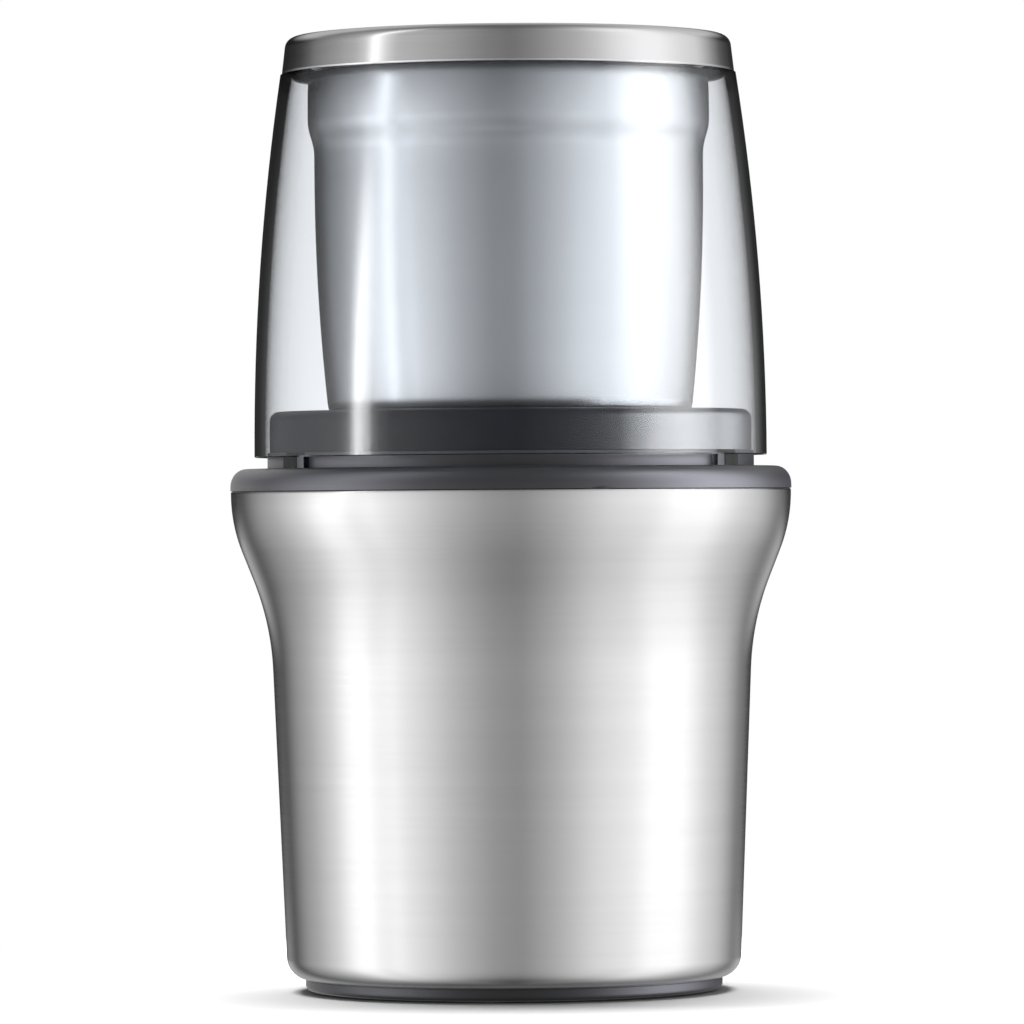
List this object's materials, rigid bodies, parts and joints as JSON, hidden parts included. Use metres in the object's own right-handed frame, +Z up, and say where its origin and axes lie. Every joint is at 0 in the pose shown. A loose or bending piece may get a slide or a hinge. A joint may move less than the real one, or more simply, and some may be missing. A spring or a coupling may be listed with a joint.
{
  "type": "electric spice grinder",
  "caption": "Press-lid electric spice grinder: brushed steel motor base with a grey collar, lift-out steel bowl with blades on a dark base, clear lid with a steel cap.",
  "frame": {"origin": "on the floor under the feet, on the vertical axis of the motor", "axes": "+Z up along the motor shaft, -Y to the front, +X to the right seen from the front"},
  "size_m": [0.1176, 0.1176, 0.2],
  "materials": {
    "brushed_steel": "brushed round the body",
    "cap_steel": "brushed",
    "bowl_steel": "brushed",
    "blade_steel": "ground",
    "ground_steel": "ground",
    "zinc_steel": "zinc plated",
    "lamination": "oiled laminations",
    "bracket_alloy": "die cast",
    "bronze": "sintered",
    "copper": "enamelled wire",
    "carbon": "pressed carbon",
    "grey_plastic": "satin moulded",
    "base_plastic": "satin moulded",
    "dark_plastic": "satin moulded",
    "dog_plastic": "moulded",
    "press_plastic": "moulded acetal",
    "bobbin_plastic": "moulded",
    "holder_plastic": "moulded phenolic",
    "switch_plastic": "moulded",
    "film_plastic": "moulded",
    "red_plastic": "moulded",
    "clear_plastic": "clear, lightly smoked",
    "silicone": "moulded silicone",
    "rubber": "moulded"
  },
  "bodies": {
    "housing": {"steel_housing": "brushed_steel", "top_collar": "grey_plastic", "base_plate": "base_plastic", "rubber_feet": "rubber", "cord_gland": "rubber", "tie_screws": "zinc_steel", "well_seal": "rubber", "upper_bracket": "bracket_alloy", "lower_bracket": "bracket_alloy", "through_bolts": "zinc_steel", "vibration_dampers": "rubber", "motor_screws": "zinc_steel", "stator_core": "lamination", "coil_bobbins": "bobbin_plastic", "field_coils": "copper", "upper_bearing": "bronze", "lower_bearing": "bronze", "brush_holders": "holder_plastic", "carbon_brushes": "carbon", "brush_springs": "zinc_steel", "switch_body": "switch_plastic", "switch_terminals": "bronze", "switch_screws": "zinc_steel", "noise_capacitor": "film_plastic", "thermal_cutout": "switch_plastic", "return_springs": "zinc_steel"},
    "rotor": {"motor_shaft": "ground_steel", "armature_core": "lamination", "armature_windings": "copper", "commutator": "copper", "cooling_fan": "switch_plastic", "rotor_collars": "zinc_steel", "drive_dog": "dog_plastic"},
    "press_ring": {"press_ring": "press_plastic"},
    "lid": {"lid_shell": "clear_plastic", "lid_seal": "silicone", "lid_cap": "cap_steel"},
    "bowl": {"grinding_bowl": "bowl_steel", "bowl_base": "dark_plastic", "bearing_hub": "ground_steel", "hub_gasket": "rubber", "hub_nut": "zinc_steel", "hub_bushes": "bronze", "shaft_seal": "rubber"},
    "blades": {"blade_shaft": "ground_steel", "lower_blade": "blade_steel", "upper_blade": "blade_steel", "blade_washers": "zinc_steel", "blade_nut": "ground_steel", "driven_dog": "dog_plastic"},
    "switch_lever": {"switch_lever": "zinc_steel"},
    "switch_button": {"switch_button": "red_plastic"}
  },
  "joints": [
    {"name": "press", "type": "slide", "parent": "housing", "child": "press_ring", "axis": [0, 0, 1], "range_m": [-0.0022, 0], "stiffness_N_per_m": 1200, "springref_m": 0.004, "deforming": ["return_springs"]},
    {"name": "lid_lift", "type": "slide", "parent": "press_ring", "child": "lid", "axis": [0, 0, 1], "range_m": [0, 0.2]},
    {"name": "bowl_lift", "type": "slide", "parent": "housing", "child": "bowl", "axis": [0, 0, 1], "range_m": [0, 0.1]},
    {"name": "rotor_spin", "type": "hinge", "parent": "housing", "child": "rotor", "pos_m": [0, 0, 0.05], "axis": [0, 0, 1], "continuous": true},
    {"name": "blade_spin", "type": "hinge", "parent": "bowl", "child": "blades", "pos_m": [0, 0, 0.12], "axis": [0, 0, 1], "continuous": true},
    {"name": "lever_swing", "type": "hinge", "parent": "housing", "child": "switch_lever", "pos_m": [0.044, 0.0086, 0.0912], "axis": [1, 0, 0], "range_deg": [0, 12]},
    {"name": "button_press", "type": "slide", "parent": "housing", "child": "switch_button", "axis": [0, 0, 1], "range_m": [-0.0006, 0]}
  ],
  "couplings": [
    {"joint": "bowl_lift", "follows": "lid_lift", "ratio": 0.5},
    {"joint": "blade_spin", "follows": "rotor_spin", "ratio": 1},
    {"joint": "lever_swing", "follows": "press", "rad_per_m": -86.207},
    {"joint": "button_press", "follows": "press", "ratio": 0.259}
  ]
}
